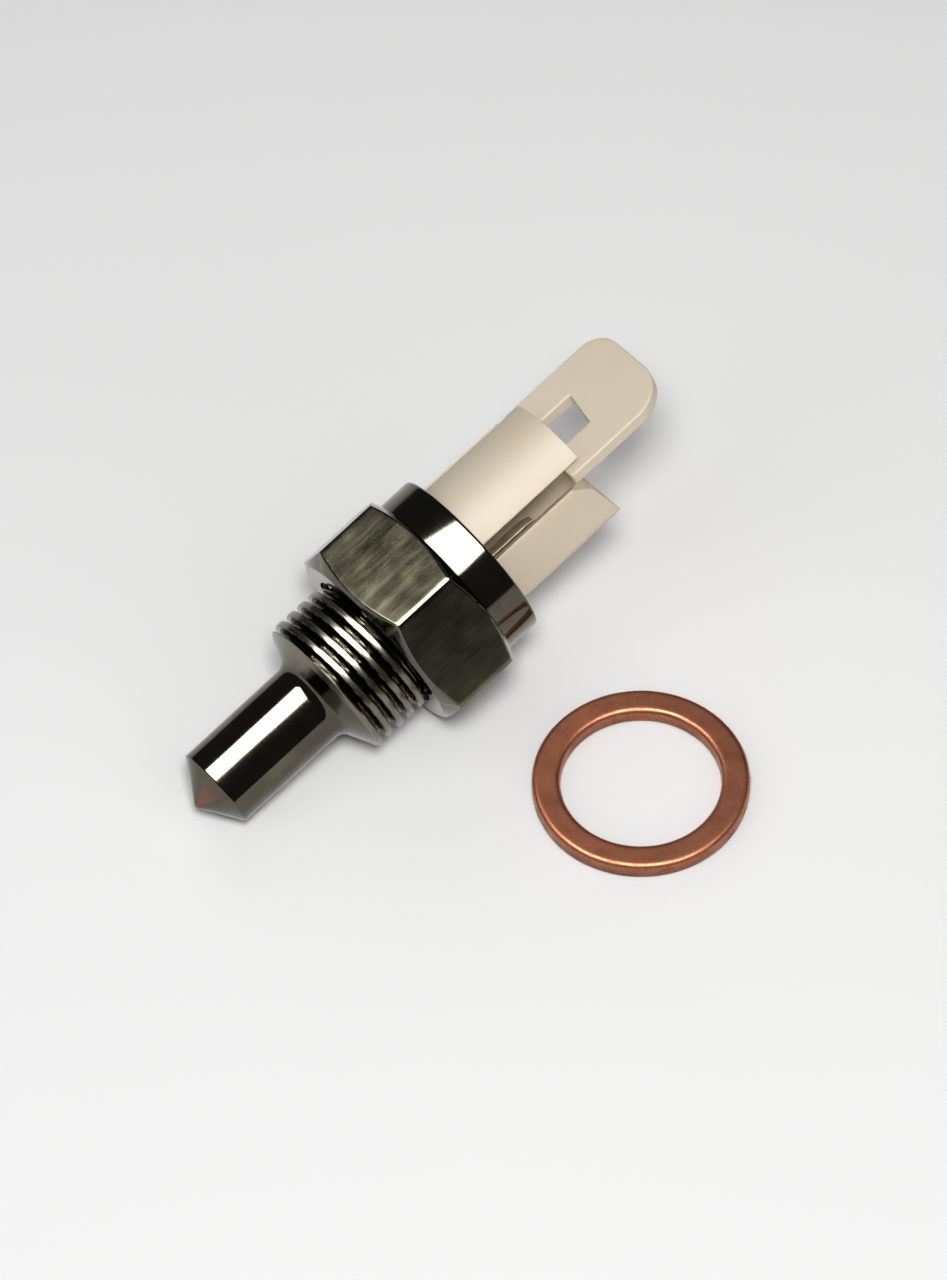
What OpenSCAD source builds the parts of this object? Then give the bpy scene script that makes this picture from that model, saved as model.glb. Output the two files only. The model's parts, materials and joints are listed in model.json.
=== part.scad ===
// Immersion temperature probe with its loose copper sealing washer.
// Every probe piece is modelled on one upright axis: +Z runs towards the
// connector and z = 0 is the sealing face of the hexagon. lay_down() then
// tips the probe over, so that it rests on its nose and on one flat of the
// hexagon with z = 0 as the table. The washer lies flat beside it.

/* [Pocket] */
// Length of the pocket ahead of the sealing face
pocket_len = 15.1; // [12.6:0.1:18.2]
// Diameter of the thin part of the pocket
stem_d = 5.44; // [5:0.02:6.6]
// Length of the pointed nose
nose_len = 1.65; // [1.4:0.05:2]
// Diameter of the hole drilled down the pocket
bore_d = 3.8; // [3.2:0.1:4.5]
// Metal left between the drilled hole and the nose's shoulder
nose_wall = 0.3; // [0.2:0.05:0.6]

/* [Thread] */
// Outer diameter of the thread
thread_d = 9.728; // [8.6:0.001:11.7]
// Distance from one thread ridge to the next
thread_pitch = 0.907; // [0.75:0.001:1.1]
// Number of thread ridges
ridge_count = 5; // [4:1:6]
// Depth of one thread ridge
thread_depth = 0.58; // [0.45:0.01:0.7]
// Length of the flare between stem and thread
flare_len = 0.85; // [0.75:0.05:1.6]

/* [Hexagon and collar] */
// Hexagon width across flats
hex_af = 13; // [12:0.1:15.6]
// Hexagon length along the axis
hex_len = 5.75; // [5:0.05:7]
// Length of the collar behind the hexagon
collar_len = 2.5; // [2.1:0.05:3.2]
// Wall of the collar around the housing's flange
collar_wall = 0.5; // [0.4:0.05:0.7]
// Thickness of the lip that is rolled over the flange
lip_t = 0.6; // [0.4:0.05:0.7]
// Round on the outer edge of the lip
lip_round = 0.2; // [0.1:0.05:0.35]
// Thickness of the rubber seal under the flange
seal_d = 0.9; // [0.7:0.05:1]

/* [Connector] */
// Outer diameter of the round part of the housing
barrel_d = 9.8; // [8.4:0.05:11.8]
// How far the housing's flange stands out inside the collar
flange_step = 0.5; // [0.4:0.05:0.7]
// Length of the housing's top shell behind the collar
socket_len = 8.15; // [7.6:0.05:9.8]
// Narrowing of the round part towards its open end, so that it leaves its mould
barrel_draft = 0.06; // [0.03:0.01:0.12]
// Width of the socket across its side flats
socket_w = 8.04; // [7.4:0.02:8.2]
// Depth of the socket's underside below the probe axis
underside_h = 2.6; // [2.4:0.05:3]
// Wall of the socket
wall = 0.9; // [0.7:0.05:1.05]
// Width of the two slots beside the top shell
slot_w = 1.2; // [0.9:0.05:1.4]
// Turn of each slot away from the top
slot_angle = 47; // [45:0.5:49]
// How far the trough's underside stands out beyond the top shell
trough_ahead = 0.6; // [0:0.05:1]
// Slant of the trough's end, from its underside back to the slots
end_slant = 14; // [0:1:16]
// Length of the latch tongue beyond the top shell
tongue_len = 7.2; // [6.4:0.1:8.6]
// Width of the latch tongue
tongue_w = 7.1; // [6.1:0.1:7.4]
// Height of the tongue's top above the probe axis
tongue_h = 3.33; // [3:0.01:3.5]
// Thickness of the latch tongue
tongue_t = 0.95; // [0.8:0.05:1.1]
// Window width in the tongue, across it
window_w = 2.6; // [2:0.1:3.2]
// Window length in the tongue, along its longer side
window_len = 2.5; // [2:0.1:2.8]
// How much shorter the window's other side is
window_skew = 0.5; // [0:0.1:0.6]
// Distance between the two pins
pin_pitch = 2.5; // [2.3:0.1:3]
// Thickness of a square pin
pin_t = 0.64; // [0.5:0.02:0.76]
// Length of a pin beyond the collar
pin_reach = 4.05; // [3.4:0.05:4.8]
// Turn of the housing about the probe axis, away from straight up
housing_roll = 10; // [0:1:12]

/* [Washer] */
// Clearance between the thread and the washer's hole, on the radius
washer_play = 0.136; // [0.1:0.002:0.3]
// Width of the washer's ring
ring_w = 1.75; // [1.5:0.05:2.1]
// Thickness of the sealing washer
washer_t = 1.25; // [1.1:0.05:1.5]
// Washer centre beyond the nose, along the probe
washer_ahead = 22.5; // [19:0.1:27.5]
// Gap between the hexagon and the washer, seen from above
washer_gap = 1.65; // [0.5:0.05:4]

/* [Hidden] */
$fn = 96;

// pocket: radii and stations on the axis
stem_r = stem_d / 2;
bore_r = bore_d / 2;
tip_r = 0.12;
thread_r = thread_d / 2;
root_r = thread_r - thread_depth;
nose_z = nose_len - pocket_len;
thread_z = -ridge_count * thread_pitch;
flare_z = thread_z - flare_len;
fillet_r = 0.8;
first_ridge_drop = 0.2;
relief_r = thread_r + 0.06;
relief_depth = 0.25;
ridge_steps = [0.05, 0.44, 0.56, 0.95];
bore_end_z = nose_z + nose_wall;
drill_point = 0.6;

// hexagon, collar and the seat inside them
chamfer_angle = 30;
face_r = hex_af / 2 - 0.3;
corner_r = hex_af / 2 / cos(30);
collar_z = hex_len + collar_len;
fit = 0.03;
barrel_r = barrel_d / 2;
flange_r = barrel_r + flange_step;
seat_r = flange_r + fit;
collar_r = seat_r + collar_wall;
lip_r = barrel_r + 0.07;
flange_z = collar_z - lip_t;
seat_z = hex_len;
seal_r = seal_d / 2;
flange_t = flange_z - seat_z - seal_d;
boss_r = flange_r - seal_d - 0.95;
boss_len = seal_d + 0.6;
boss_end_z = flange_z - flange_t - boss_len;
chamber_r = boss_r + fit;
chamber_z = 1;
seal_ring_r = (boss_r + seat_r) / 2;

// housing
side_flat = socket_w / 2;
bottom_round = 1.2;
tongue_under = tongue_h - tongue_t;
socket_z = collar_z + socket_len;
socket_floor_z = collar_z - 0.2;
trough_z = socket_z + trough_ahead;
trough_round = 0.8;
tongue_end_z = socket_z + tongue_len;
tongue_root_z = socket_z - 1.1;
far_round = 1.6;
near_round = 2.7;
window_z = socket_z + 0.25;

// terminals, leads and what holds them
pin_end_z = collar_z + pin_reach;
pin_point = 0.7;
tail_len = 0.9;
tail_z = boss_end_z - tail_len;
wire_r = 0.2;
crimp_r = 0.55;
crimp_len = 1.7;
crimp_z = boss_end_z - crimp_len - 0.05;
lead_gap = 0.5;
bend_z = chamber_z - 0.2;
sleeve_r = 0.42;
chip_w = 2 * (lead_gap - wire_r);
chip_len = 0.8;
bead_r = 1.15;
bead_z = bore_end_z + 1.5;
chip_z = bead_z - 0.4;
bead_top_z = bead_z + 1.2;
sleeve_z = bead_top_z + 0.02;
sleeve_end_z = bend_z - 0.1;
liner_r = bore_r - 2 * fit;
liner_in_r = lead_gap + sleeve_r + 0.13;
fill_r = bore_r - 0.01;
fill_top_z = bead_top_z - 0.1;
both_sides = [-1, 1];

// resting pose
edge_z = (hex_af / 2 - face_r) * tan(chamfer_angle);
tilt = atan((hex_af / 2 - stem_r) / (edge_z - nose_z));
rest_h = stem_r * cos(tilt) - nose_z * sin(tilt);
nose_x = -pocket_len * cos(tilt) - tip_r * sin(tilt);
round_reach = far_round * sqrt(pow(cos(tilt), 2) + pow(sin(housing_roll) * sin(tilt), 2));
tongue_x = (tongue_end_z - far_round) * cos(tilt)
  + (tongue_w / 2 - far_round) * sin(housing_roll) * sin(tilt)
  - tongue_under * cos(housing_roll) * sin(tilt) + round_reach;
washer_id = thread_d + 2 * washer_play;
washer_od = washer_id + 2 * ring_w;
washer_y = -(corner_r + washer_gap + washer_od / 2);
centre_x = (nose_x + tongue_x) / 2;
centre_y = (corner_r + washer_y - washer_od / 2) / 2;

// points on an arc of radius r about [cx, cy] from angle a0 to angle a1
function arc(cx, cy, r, a0, a1, n = 8) =
  [for (i = [0:n]) [cx + r * cos(a0 + (a1 - a0) * i / n), cy + r * sin(a0 + (a1 - a0) * i / n)]];

// lays an upright probe piece down on its nose and on one hexagon flat
module lay_down() {
  translate([-centre_x, -centre_y, rest_h])
    rotate([0, 90 - tilt, 0])
      rotate([0, 0, 180])
        children();
}

// turns a housing piece about the probe axis
module rolled() {
  rotate([0, 0, -housing_roll]) children();
}

// straight rod from one point to another
module rod(p, q, r) {
  v = q - p;
  translate(p)
    rotate([0, acos(v[2] / norm(v)), atan2(v[1], v[0])])
      cylinder(h = norm(v), r = r, $fn = 24);
}

// rectangle centred on x and y with rounded corners
module round_rect(w, h, r) {
  square([w - 2 * r, h], center = true);
  square([w, h - 2 * r], center = true);
  for (x = [-1, 1], y = [-1, 1])
    translate([x * (w / 2 - r), y * (h / 2 - r)]) circle(r, $fn = 48);
}

// half profile of the nose, stem, flare and ridged thread
module front_profile() {
  polygon(concat(
    [[0, -pocket_len], [tip_r, -pocket_len], [stem_r, nose_z]],
    arc(stem_r + fillet_r, flare_z - fillet_r / 2, fillet_r, 180, 125),
    [for (i = [0:ridge_count - 1], k = [0:3])
      [
        k == 1 || k == 2 ? thread_r - (i == 0 ? first_ridge_drop : 0) : root_r,
        thread_z + (i + ridge_steps[k]) * thread_pitch
      ]],
    [[root_r, 0.5], [0, 0.5]]
  ));
}

// half profile of the collar, with the edge rolled inwards
module collar_profile() {
  polygon(concat(
    [[0, hex_len - 0.6], [collar_r, hex_len - 0.6]],
    arc(collar_r - lip_round, collar_z - lip_round, lip_round, 0, 90),
    [[0, collar_z]]
  ));
}

// half profile that cuts the hexagon's corners back at both ends
module hex_chamfer_profile() {
  drop = (corner_r - face_r) * tan(chamfer_angle);
  polygon([
    [0, 0], [face_r, 0], [corner_r, drop], [corner_r, hex_len - drop],
    [face_r, hex_len], [0, hex_len]
  ]);
}

// hole for the sensor, chamber for the resin, and the seat for the housing
module pocket_hollow() {
  rotate_extrude()
    polygon([
      [0, bore_end_z - drill_point], [bore_r, bore_end_z], [bore_r, chamber_z],
      [chamber_r, chamber_z], [chamber_r, seat_z], [seat_r, seat_z],
      [seat_r, flange_z], [lip_r, flange_z], [lip_r, collar_z + 1],
      [0, collar_z + 1]
    ]);
}

// shallow step in the sealing face around the thread's end
module thread_relief() {
  difference() {
    translate([0, 0, -relief_depth]) cylinder(h = 2 * relief_depth, r = relief_r);
    translate([0, 0, -relief_depth - 1]) cylinder(h = 2 * relief_depth + 2, r = root_r);
    rotate_extrude() front_profile();
  }
}

module pocket_body() {
  color([0.25, 0.23, 0.19])
    lay_down()
      difference() {
        union() {
          rotate_extrude() front_profile();
          rotate_extrude() collar_profile();
          intersection() {
            rotate([0, 0, 30]) cylinder(h = hex_len, r = corner_r, $fn = 6);
            rotate_extrude() hex_chamfer_profile();
          }
        }
        pocket_hollow();
        thread_relief();
      }
}

module base_seal() {
  color([0.12, 0.12, 0.12])
    lay_down()
      translate([0, 0, seat_z + seal_r])
        rotate_extrude() translate([seal_ring_r, 0]) circle(seal_r - 0.01, $fn = 32);
}

// the whole socket up to the trough's end: round on top, flat at the sides and below
module socket_block() {
  base_z = flange_z - 0.5;
  intersection() {
    translate([0, 0, base_z])
      linear_extrude(trough_z - base_z)
        translate([barrel_r / 2 - underside_h / 2 + bottom_round, 0])
          round_rect(barrel_r + underside_h + 2 * bottom_round, socket_w, bottom_round);
    translate([0, 0, base_z])
      cylinder(h = trough_z - base_z, r1 = barrel_r, r2 = barrel_r - barrel_draft);
  }
}

// the space that the cable's plug slides into
module plug_space() {
  translate([wall - underside_h, wall - side_flat])
    square([underside_h - wall + tongue_under, socket_w - 2 * wall]);
}

// everything between the middles of the two slots
module shell_wedge(reach) {
  polygon([
    [0, 0], [reach * cos(slot_angle), reach * sin(slot_angle)],
    [reach * cos(slot_angle), -reach * sin(slot_angle)]
  ]);
}

// seen from the side: what the slant, the chamfer under the tongue and the round
// at the underside take off the trough's end
module trough_end_profile() {
  slope = tan(end_slant);
  chamfer_end = tongue_root_z + tongue_under - fit;
  meet_z = (trough_z - (chamfer_end + underside_h) * slope) / (1 - slope);
  meet_x = chamfer_end - meet_z;
  round_x = trough_round - underside_h;
  round_z = trough_z - trough_round * (1 + slope);
  polygon(concat(
    [[barrel_r, chamfer_end - barrel_r], [meet_x, meet_z]],
    arc(round_x, round_z, trough_round, 90 - end_slant, 180),
    [[-underside_h - 1, round_z], [-underside_h - 1, trough_z + 1], [barrel_r, trough_z + 1]]
  ));
}

// cuts the top shell and the trough to their own lengths
module end_cuts() {
  translate([0, 0, socket_z]) linear_extrude(trough_ahead + 1) shell_wedge(2 * barrel_r);
  difference() {
    translate([0, barrel_r, 0])
      rotate([90, 0, 0])
        linear_extrude(2 * barrel_r) trough_end_profile();
    translate([0, 0, socket_floor_z]) linear_extrude(2 * socket_len) shell_wedge(3 * barrel_r);
  }
}

// flat tongue, its two end corners rounded by different amounts
module latch_tongue() {
  reach = tongue_end_z - tongue_root_z;
  half = tongue_w / 2;
  translate([tongue_under, 0, tongue_root_z])
    rotate([0, 90, 0])
      linear_extrude(tongue_t) {
        translate([near_round - reach, -half]) square([reach - near_round, tongue_w]);
        translate([-reach, far_round - half])
          square([near_round + 0.1, tongue_w - far_round - near_round]);
        translate([far_round - reach, -half])
          square([near_round - far_round + 0.1, far_round + 0.1]);
        translate([far_round - reach, far_round - half]) circle(far_round);
        translate([near_round - reach, half - near_round]) circle(near_round);
      }
}

// opening in the tongue for the plug's catch, its near side shorter than its far side
module catch_window() {
  half = window_w / 2;
  window_end_z = window_z + window_len;
  rotate([0, 90, 0])
    linear_extrude(barrel_r)
      polygon([
        [-window_z, -half], [-window_end_z, -half],
        [window_skew - window_end_z, half], [-window_z, half]
      ]);
}

module connector_housing() {
  color([0.85, 0.80, 0.71])
    lay_down()
      rolled()
        difference() {
          union() {
            translate([0, 0, boss_end_z]) cylinder(h = boss_len + flange_t, r = boss_r);
            translate([0, 0, flange_z - flange_t]) cylinder(h = flange_t, r = flange_r);
            difference() {
              socket_block();
              translate([0, 0, socket_floor_z]) linear_extrude(2 * socket_len) plug_space();
              for (s = both_sides)
                rotate([0, 0, s * slot_angle])
                  translate([0, -slot_w / 2, socket_floor_z])
                    cube([barrel_r + 1, slot_w, 2 * socket_len]);
              end_cuts();
            }
            latch_tongue();
          }
          catch_window();
          for (s = both_sides)
            translate([0, s * pin_pitch / 2, (boss_end_z + socket_floor_z) / 2])
              cube([pin_t, pin_t, socket_floor_z - boss_end_z + 1], center = true);
        }
}

// square pin with a wedge point in front and a round tail behind
module terminal(s) {
  color([0.78, 0.76, 0.70])
    lay_down()
      rolled()
        translate([0, s * pin_pitch / 2, 0]) {
          translate([0, pin_t / 2, 0])
            rotate([90, 0, 0])
              linear_extrude(pin_t)
                polygon([
                  [-pin_t / 2, boss_end_z], [pin_t / 2, boss_end_z],
                  [pin_t / 2, pin_end_z - pin_point], [pin_t / 6, pin_end_z],
                  [-pin_t / 6, pin_end_z], [-pin_t / 2, pin_end_z - pin_point]
                ]);
          translate([0, 0, tail_z]) cylinder(h = tail_len + 0.1, r = wire_r, $fn = 24);
        }
}

module terminal_left() {
  terminal(-1);
}

module terminal_right() {
  terminal(1);
}

// sleeve squeezed over a terminal's tail and a lead's end
module crimp(s) {
  color([0.70, 0.66, 0.55])
    lay_down()
      rolled()
        translate([0, s * pin_pitch / 2, crimp_z])
          difference() {
            cylinder(h = crimp_len, r = crimp_r, $fn = 32);
            translate([0, 0, -1]) cylinder(h = crimp_len + 2, r = wire_r, $fn = 24);
          }
}

module crimp_left() {
  crimp(-1);
}

module crimp_right() {
  crimp(1);
}

// bare wire from the chip up the pocket, then spread out to its terminal
module lead_path(s, r) {
  points = [
    [0, s * lead_gap, chip_z], [0, s * lead_gap, bend_z],
    [0, s * pin_pitch / 2, crimp_z - 0.3], [0, s * pin_pitch / 2, tail_z - 0.02]
  ];
  for (i = [0:2]) rod(points[i], points[i + 1], r);
  for (i = [1:2]) translate(points[i]) sphere(1.12 * r, $fn = 32);
}

module lead(s) {
  color([0.74, 0.70, 0.60])
    lay_down()
      rolled()
        lead_path(s, wire_r);
}

module lead_left() {
  lead(-1);
}

module lead_right() {
  lead(1);
}

// insulation on the straight part of a lead
module sleeve(s) {
  color([0.92, 0.90, 0.84])
    lay_down()
      rolled()
        translate([0, s * lead_gap, sleeve_z])
          difference() {
            cylinder(h = sleeve_end_z - sleeve_z, r = sleeve_r, $fn = 32);
            translate([0, 0, -1])
              cylinder(h = sleeve_end_z - sleeve_z + 2, r = wire_r + 0.01, $fn = 24);
          }
}

module sleeve_left() {
  sleeve(-1);
}

module sleeve_right() {
  sleeve(1);
}

module liner_tube() {
  color([0.80, 0.45, 0.20])
    lay_down()
      translate([0, 0, bead_top_z])
        difference() {
          cylinder(h = bend_z - bead_top_z, r = liner_r);
          translate([0, 0, -1]) cylinder(h = bend_z - bead_top_z + 2, r = liner_in_r);
        }
}

module ntc_chip() {
  color([0.30, 0.31, 0.33])
    lay_down()
      rolled()
        translate([0, 0, chip_z]) cube([chip_w, chip_w, chip_len], center = true);
}

// drop of resin with a round nose and a flat top
module bead_shape() {
  translate([0, 0, bead_z]) sphere(bead_r);
  translate([0, 0, bead_z]) cylinder(h = bead_top_z - bead_z, r = bead_r);
}

module thermistor_bead() {
  color([0.14, 0.14, 0.15])
    lay_down()
      rolled()
        difference() {
          bead_shape();
          translate([0, 0, chip_z]) cube([chip_w, chip_w, chip_len], center = true);
          for (s = both_sides) lead_path(s, wire_r + 0.01);
        }
}

// heat-conducting paste around the bead, down to the drilled point
module thermal_fill() {
  color([0.85, 0.86, 0.86])
    lay_down()
      difference() {
        rotate_extrude()
          polygon([
            [0, bore_end_z - drill_point + 0.01], [fill_r, bore_end_z + 0.01], [fill_r, fill_top_z],
            [0, fill_top_z]
          ]);
        bead_shape();
      }
}

module potting() {
  color([0.10, 0.11, 0.13])
    lay_down()
      rolled()
        difference() {
          translate([0, 0, chamber_z])
            cylinder(h = boss_end_z - chamber_z - 0.01, r = chamber_r - 0.01);
          for (s = both_sides) {
            translate([0, s * pin_pitch / 2, crimp_z - 0.01])
              cylinder(h = boss_len + crimp_len, r = crimp_r + 0.01, $fn = 32);
            lead_path(s, wire_r + 0.01);
          }
        }
}

module sealing_washer() {
  edge_r = 0.3;
  color([0.62, 0.36, 0.24])
    translate([nose_x + washer_ahead - centre_x, washer_y - centre_y, 0])
      rotate_extrude()
        translate([(washer_id + ring_w) / 2, washer_t / 2]) round_rect(ring_w, washer_t, edge_r);
}

pocket_body();
base_seal();
connector_housing();
terminal_left();
terminal_right();
crimp_left();
crimp_right();
lead_left();
lead_right();
sleeve_left();
sleeve_right();
liner_tube();
ntc_chip();
thermistor_bead();
thermal_fill();
potting();
sealing_washer();
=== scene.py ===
import json

import bpy
import numpy as np
from bpy.props import FloatProperty, FloatVectorProperty, PointerProperty
from mathutils import Matrix, Vector


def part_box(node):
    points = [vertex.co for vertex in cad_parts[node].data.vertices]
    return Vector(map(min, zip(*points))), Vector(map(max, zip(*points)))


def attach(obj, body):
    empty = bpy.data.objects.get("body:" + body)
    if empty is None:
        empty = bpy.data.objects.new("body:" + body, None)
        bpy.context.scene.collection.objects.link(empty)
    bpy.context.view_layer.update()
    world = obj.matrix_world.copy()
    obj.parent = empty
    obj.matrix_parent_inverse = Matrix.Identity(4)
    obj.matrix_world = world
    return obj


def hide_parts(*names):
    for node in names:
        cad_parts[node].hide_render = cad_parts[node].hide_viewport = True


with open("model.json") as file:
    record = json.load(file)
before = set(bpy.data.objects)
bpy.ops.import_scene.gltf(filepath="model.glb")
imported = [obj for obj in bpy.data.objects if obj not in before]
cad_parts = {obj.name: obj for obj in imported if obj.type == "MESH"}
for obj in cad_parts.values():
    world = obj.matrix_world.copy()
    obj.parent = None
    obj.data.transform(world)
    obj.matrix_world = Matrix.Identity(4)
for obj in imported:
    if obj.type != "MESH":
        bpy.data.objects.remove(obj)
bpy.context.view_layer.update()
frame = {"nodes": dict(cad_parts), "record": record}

bl_info = {
    "name": "Immersion Temperature Probe",
    "version": (1, 0, 0),
    "blender": (4, 5, 0),
    "location": "3D View > Sidebar > Probe",
    "description": "Plated pocket, connector moulding, pins and copper washer around the packed probe",
    "category": "Object",
}

# -------- places
# Probe space: x points from the axis to the probe's upper side, y to its right side
# seen from the nose, z along the axis from nose to connector, with z = 0 at the
# sealing face of the hexagon. The record's mounts give it in the row frame.

MM = 0.001
SLIVER = 0.02 * MM  # radius at which a surface stops before its closing centre
EMBED = 0.1 * MM  # how far one part of a piece runs into the next
FIT = 0.03 * MM  # gap between a piece and the seat that holds it
SHARP = np.radians(35)  # edges that turn by more than this stay sharp
QUARTER = np.linspace(0, np.pi / 2, 6)  # angles over a rounded edge
mounts = {entry["name"]: entry for entry in frame["record"]["mounts"]}


def unit(v):
    """The vector divided by its length."""
    return v / np.linalg.norm(v)


def spot(name):
    """A mount's position as an array."""
    return np.array(mounts[name]["pos_m"], float)


def along(point):
    """How far a point lies along the probe axis from the sealing face."""
    return float((point - ORIGIN) @ AXIS)


AXIS = -unit(np.array(mounts["thread"]["axis"], float))
ORIGIN = spot("thread") + AXIS * ((spot("sealing_face") - spot("thread")) @ AXIS)
UPPER = unit(spot("sealing_face") - ORIGIN)
RIGHT = np.cross(AXIS, UPPER)
TILT = float(np.arcsin(AXIS[2]))

stem = mounts["pocket_stem"]["dims"]
NOSE_SHOULDER = along(spot("pocket_stem")) - stem["length_mm"] * MM / 2
STEM_END = along(spot("pocket_stem")) + stem["length_mm"] * MM / 2
SOCKET_END = along(spot("connector"))
TONGUE_UP = unit(spot("connector") - ORIGIN - AXIS * SOCKET_END)
ROLL = float(np.arctan2(TONGUE_UP @ RIGHT, TONGUE_UP @ UPPER))
WASHER_LOW, WASHER_HIGH = (np.array(corner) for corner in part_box("sealing_washer"))


def place(points, roll=0.0):
    """Probe-space points turned by roll about the axis and put into the row frame."""
    x = points[..., 0:1] * np.cos(roll) - points[..., 1:2] * np.sin(roll)
    y = points[..., 0:1] * np.sin(roll) + points[..., 1:2] * np.cos(roll)
    return ORIGIN + x * UPPER + y * RIGHT + points[..., 2:3] * AXIS


# -------- sizes and colours


def length(name, description, value):
    """A size in metres for the sidebar."""
    kind = {"unit": "LENGTH", "subtype": "DISTANCE", "precision": 6}
    return FloatProperty(name=name, description=description, default=value, **kind)


def rotation(name, description, degrees):
    """An angle for the sidebar."""
    return FloatProperty(name=name, description=description, default=np.radians(degrees), subtype="ANGLE")


def colour(name, description, value):
    """A colour for the sidebar."""
    return FloatVectorProperty(
        name=name, description=description, default=value, min=0, max=1, subtype="COLOR"
    )


class PocketSizes(bpy.types.PropertyGroup):
    """Sizes of the plated brass pocket."""

    pocket_length: length("Pocket length", "Nose to sealing face", 15.1 * MM)
    tip_radius: length("Tip radius", "Flat at the very tip of the nose", 0.12 * MM)
    stem_radius: length("Stem radius", "Thin part of the pocket", stem["r_mm"] * MM)
    thread_radius: length("Thread radius", "Over the ridges", mounts["thread"]["dims"]["r_mm"] * MM)
    thread_depth: length("Thread depth", "Height of one ridge", 0.58 * MM)
    thread_pitch: length("Thread pitch", "Ridge to ridge", 0.907 * MM)
    thread_length: length("Thread length", "Five ridges, up to the sealing face", 4.535 * MM)
    flare_fillet: length("Flare fillet", "Round between stem and flare", 0.8 * MM)
    hex_flats: length("Hexagon across flats", "Spanner size", 13 * MM)
    hex_length: length("Hexagon length", "Along the axis", 5.75 * MM)
    face_radius: length("Face radius", "Where the corner chamfer starts", 6.2 * MM)
    relief_radius: length("Relief radius", "Shallow step in the sealing face", 4.924 * MM)
    relief_depth: length("Relief depth", "Depth of that step", 0.25 * MM)
    collar_length: length("Collar length", "Behind the hexagon", 2.5 * MM)
    collar_radius: length("Collar radius", "Outside of the rolled collar", 5.93 * MM)
    lip_thickness: length("Lip thickness", "Rolled over the flange", 0.6 * MM)
    lip_round: length("Lip round", "Round on the lip's outer edge", 0.2 * MM)
    lip_radius: length("Lip opening", "Radius of the collar's mouth", 4.97 * MM)
    seat_radius: length("Seat radius", "Inside of the collar", 5.43 * MM)
    chamber_radius: length("Chamber radius", "Room for the potting", 3.58 * MM)
    chamber_end: length("Chamber end", "Sealing face to the bottom of that room", 1 * MM)
    bore_radius: length("Bore radius", "Drilled hole down the stem", 1.9 * MM)
    nose_wall: length("Nose wall", "Nose's shoulder to the end of the bore", 0.3 * MM)
    drill_point: length("Drill point", "Cone at the end of the bore", 0.59 * MM)
    # These settings paint a reddish reflection into the nose's plate colour: its half width, its turn round
    # the axis and its colour.
    reflection_half: rotation("Stain half width", "Half its turn on the nose", 21)
    reflection_middle: rotation("Stain middle", "Turn of the stain from the top", 27)
    reflection_colour: colour("Painted reflection", "Painted reddish reflection on the nose", (0.30, 0.10, 0.075))
    plate_colour: colour("Plate", "Dark nickel plate, turned", (0.110, 0.099, 0.076))
    bore_colour: colour("Bore", "Brass inside the pocket", (0.600, 0.470, 0.250))
    dull_bore_colour: colour("Dull bore", "Brass in the bore's tool marks", (0.360, 0.280, 0.150))
    flats_colour: colour("Flats", "Plate on the milled flats", (0.092, 0.084, 0.058))


class ConnectorSizes(bpy.types.PropertyGroup):
    """Sizes of the connector moulding and its pins."""

    barrel_radius: length("Barrel radius", "Round top of the socket", 4.9 * MM)
    side_flat: length("Side flat", "Axis to the socket's side", 4.02 * MM)
    underside: length("Underside", "Axis to the socket's underside", 2.6 * MM)
    underside_round: length("Underside round", "Lower edges of the socket", 1.2 * MM)
    wall: length("Wall", "Socket wall", 0.9 * MM)
    slot_width: length("Slot width", "Slots beside the top shell", 1.2 * MM)
    slot_angle: rotation("Slot angle", "Turn of a slot from the top", 47)
    flange_thickness: length("Flange thickness", "Held under the rolled lip", 0.95 * MM)
    boss_radius: length("Boss radius", "Round boss inside the pocket", 3.55 * MM)
    boss_depth: length("Boss depth", "Boss below the flange's top", 2.5 * MM)
    floor_depth: length("Floor depth", "Socket floor below the collar's mouth", 0.2 * MM)
    draft: length("Draft", "Narrowing towards the open end", 0.06 * MM)
    trough_ahead: length("Trough ahead", "Underside beyond the top shell", 0.6 * MM)
    trough_round: length("Trough end round", "Lower corner of the trough's end", 0.8 * MM)
    end_slant: rotation("End slant", "Slant of the trough's end", 14)
    tongue_root: length("Tongue root", "Start of the tongue inside the top shell", 1.1 * MM)
    tongue_length: length("Tongue length", "Beyond the top shell", 7.2 * MM)
    tongue_half: length("Tongue half width", "Centre to edge", 3.55 * MM)
    tongue_top: length("Tongue top", "Axis to the tongue's top", 3.33 * MM)
    tongue_thickness: length("Tongue thickness", "Plate thickness", 0.95 * MM)
    near_round: length("Near round", "End corner of the tongue on its right", 2.7 * MM)
    far_round: length("Far round", "End corner of the tongue on its left", 1.6 * MM)
    window_half: length("Window half width", "Centre to edge", 1.3 * MM)
    window_start: length("Window start", "From the top shell's end", 0.25 * MM)
    window_length: length("Window length", "Along the window's left side", 2.5 * MM)
    window_skew: length("Window skew", "How much shorter its right side is", 0.5 * MM)
    edge: length("Edge round", "Round on the moulding's edges", 0.12 * MM)
    pin_pitch: length("Pin pitch", "Between the two pins", 2.5 * MM)
    pin_half: length("Pin half width", "Square pin, centre to side", 0.32 * MM)
    pin_reach: length("Pin reach", "Pin beyond the collar", 4.05 * MM)
    pin_point: length("Pin point", "Tapered end of a pin", 0.7 * MM)
    tail_radius: length("Tail radius", "Round tail of a pin inside the pocket", 0.2 * MM)
    tail_length: length("Tail length", "Tail beyond the boss", 0.9 * MM)
    plastic_colour: colour("Plastic", "Ivory moulding", (0.650, 0.560, 0.435))
    tin_colour: colour("Tin", "Tinned pins", (0.720, 0.640, 0.520))


class WasherSizes(bpy.types.PropertyGroup):
    """Sizes of the copper sealing washer."""

    edge: length("Edge round", "Round on the washer's edges", 0.34 * MM)
    waviness: length("Waviness", "How uneven the stamped faces are", 0.012 * MM)
    copper_colour: colour("Copper", "Bright copper", (0.380, 0.145, 0.080))
    oxide_colour: colour("Oxide", "Dulled copper", (0.140, 0.048, 0.030))


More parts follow.
